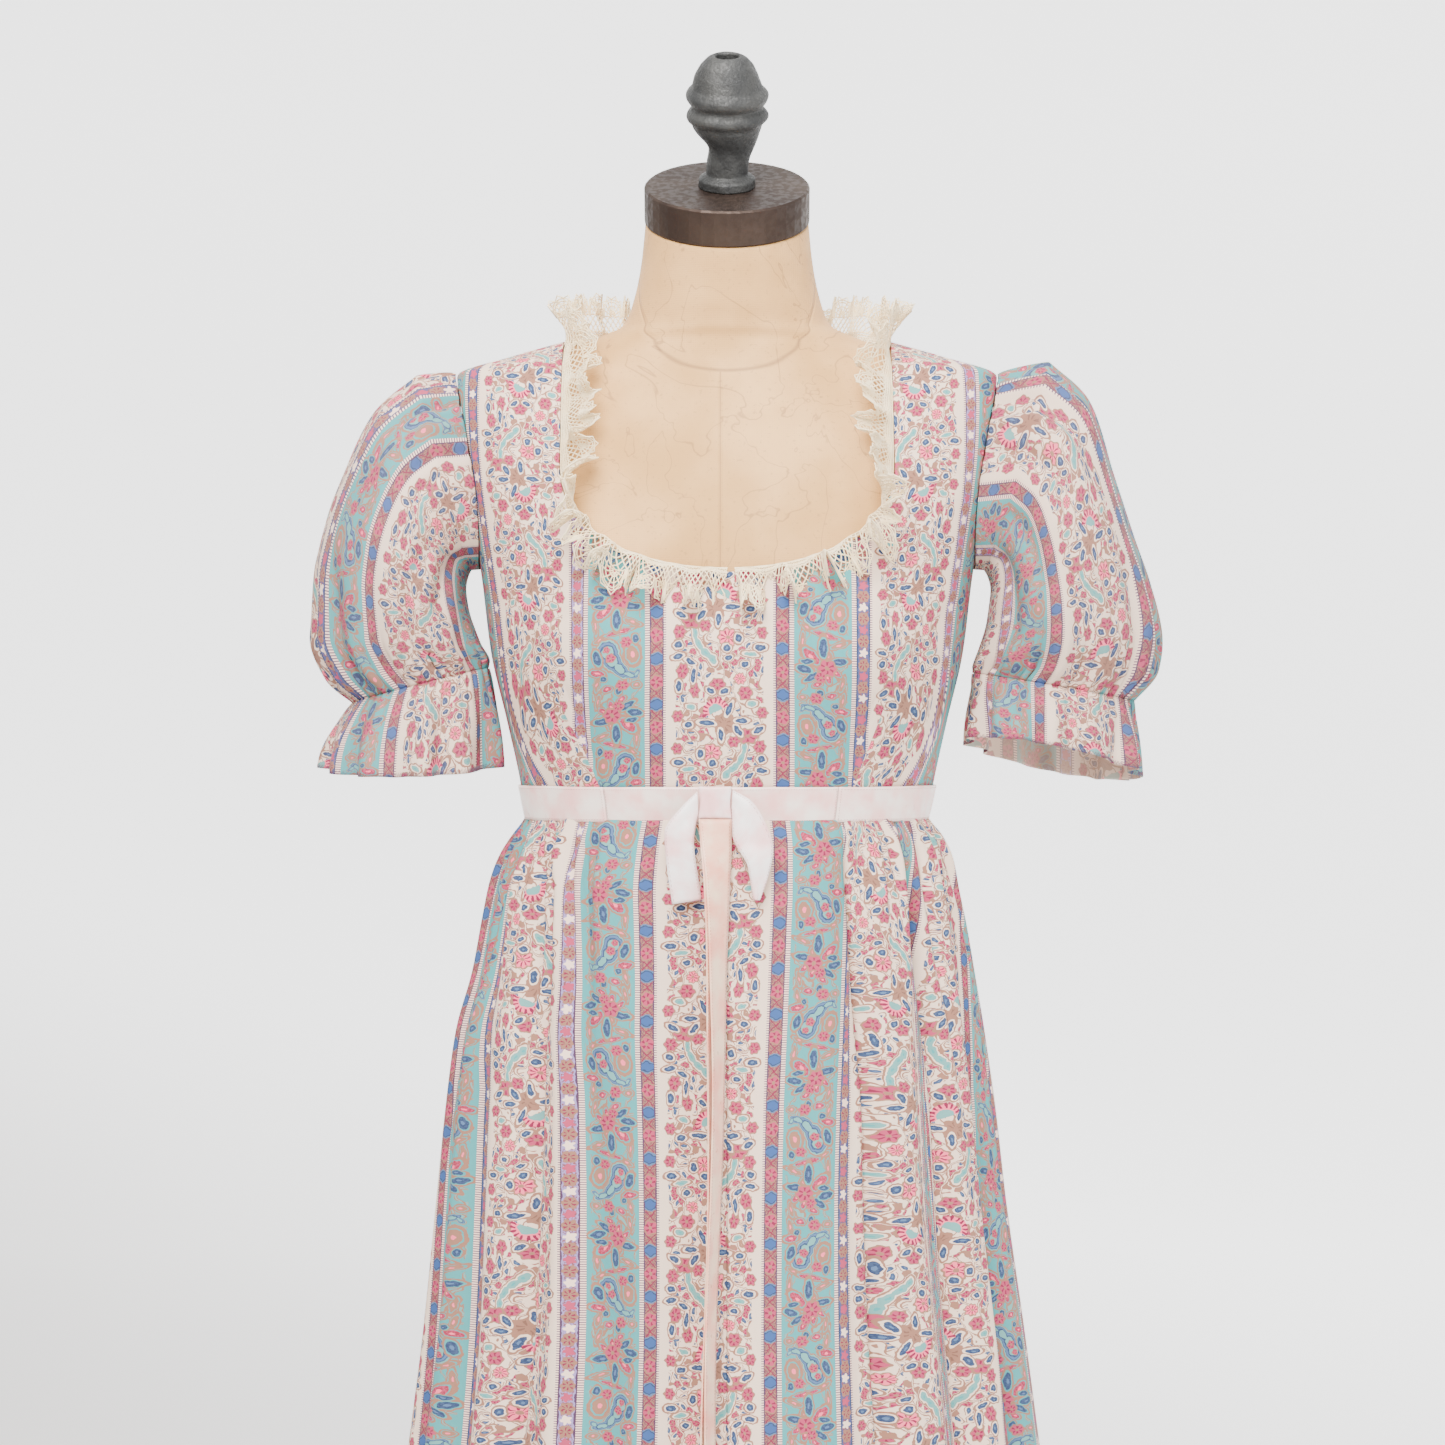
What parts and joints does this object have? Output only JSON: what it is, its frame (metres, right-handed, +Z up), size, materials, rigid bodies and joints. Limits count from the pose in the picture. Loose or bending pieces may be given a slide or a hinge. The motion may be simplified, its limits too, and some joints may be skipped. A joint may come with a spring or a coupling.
{
  "type": "prairie dress on a dress form",
  "caption": "Long empire-line dress with puff sleeves, lace neck edging and a ribbon bow, on a limbless dress form with a turned finial and a round stand.",
  "frame": {"origin": "centre of the stand's underside, on the floor", "axes": "+Z up, the front of the dress faces -Y, the wearer's left side is at +X"},
  "size_m": [0.5988, 0.4177, 1.6525],
  "materials": {
    "print_cloth": "printed cotton with floral stripes",
    "satin": "pale pink satin ribbon",
    "lace": "cream cotton lace",
    "linen": "varnished linen over a hard form",
    "bronze": "brown painted metal",
    "iron": "rough cast iron",
    "zip_nylon": "woven zip tape with nylon teeth",
    "zip_metal": "plated metal"
  },
  "bodies": {
    "dress_on_form": {"bodice_back_left": "print_cloth", "bodice_back_right": "print_cloth", "bodice_front": "print_cloth", "bow_end_left": "satin", "bow_end_right": "satin", "bow_knot": "satin", "form_base": "bronze", "form_body": "linen", "form_cap": "bronze", "form_finial": "iron", "form_pole": "bronze", "frill_left": "print_cloth", "frill_right": "print_cloth", "lace_left": "lace", "lace_right": "lace", "sash_front": "satin", "sash_left": "satin", "sash_right": "satin", "skirt_back_left": "print_cloth", "skirt_back_right": "print_cloth", "skirt_front": "print_cloth", "sleeve_left": "print_cloth", "sleeve_right": "print_cloth", "tail_left": "satin", "tail_right": "satin", "zip_slider": "zip_metal", "zip_tape": "zip_nylon"},
    "pull_tab": {"zip_pull": "zip_metal"}
  },
  "joints": [
    {"name": "pull_tab_hinge", "type": "hinge", "parent": "dress_on_form", "child": "pull_tab", "pos_m": [0, 0.10829, 1.44474], "axis": [1, 0, 0], "range_deg": [0, 100]}
  ]
}
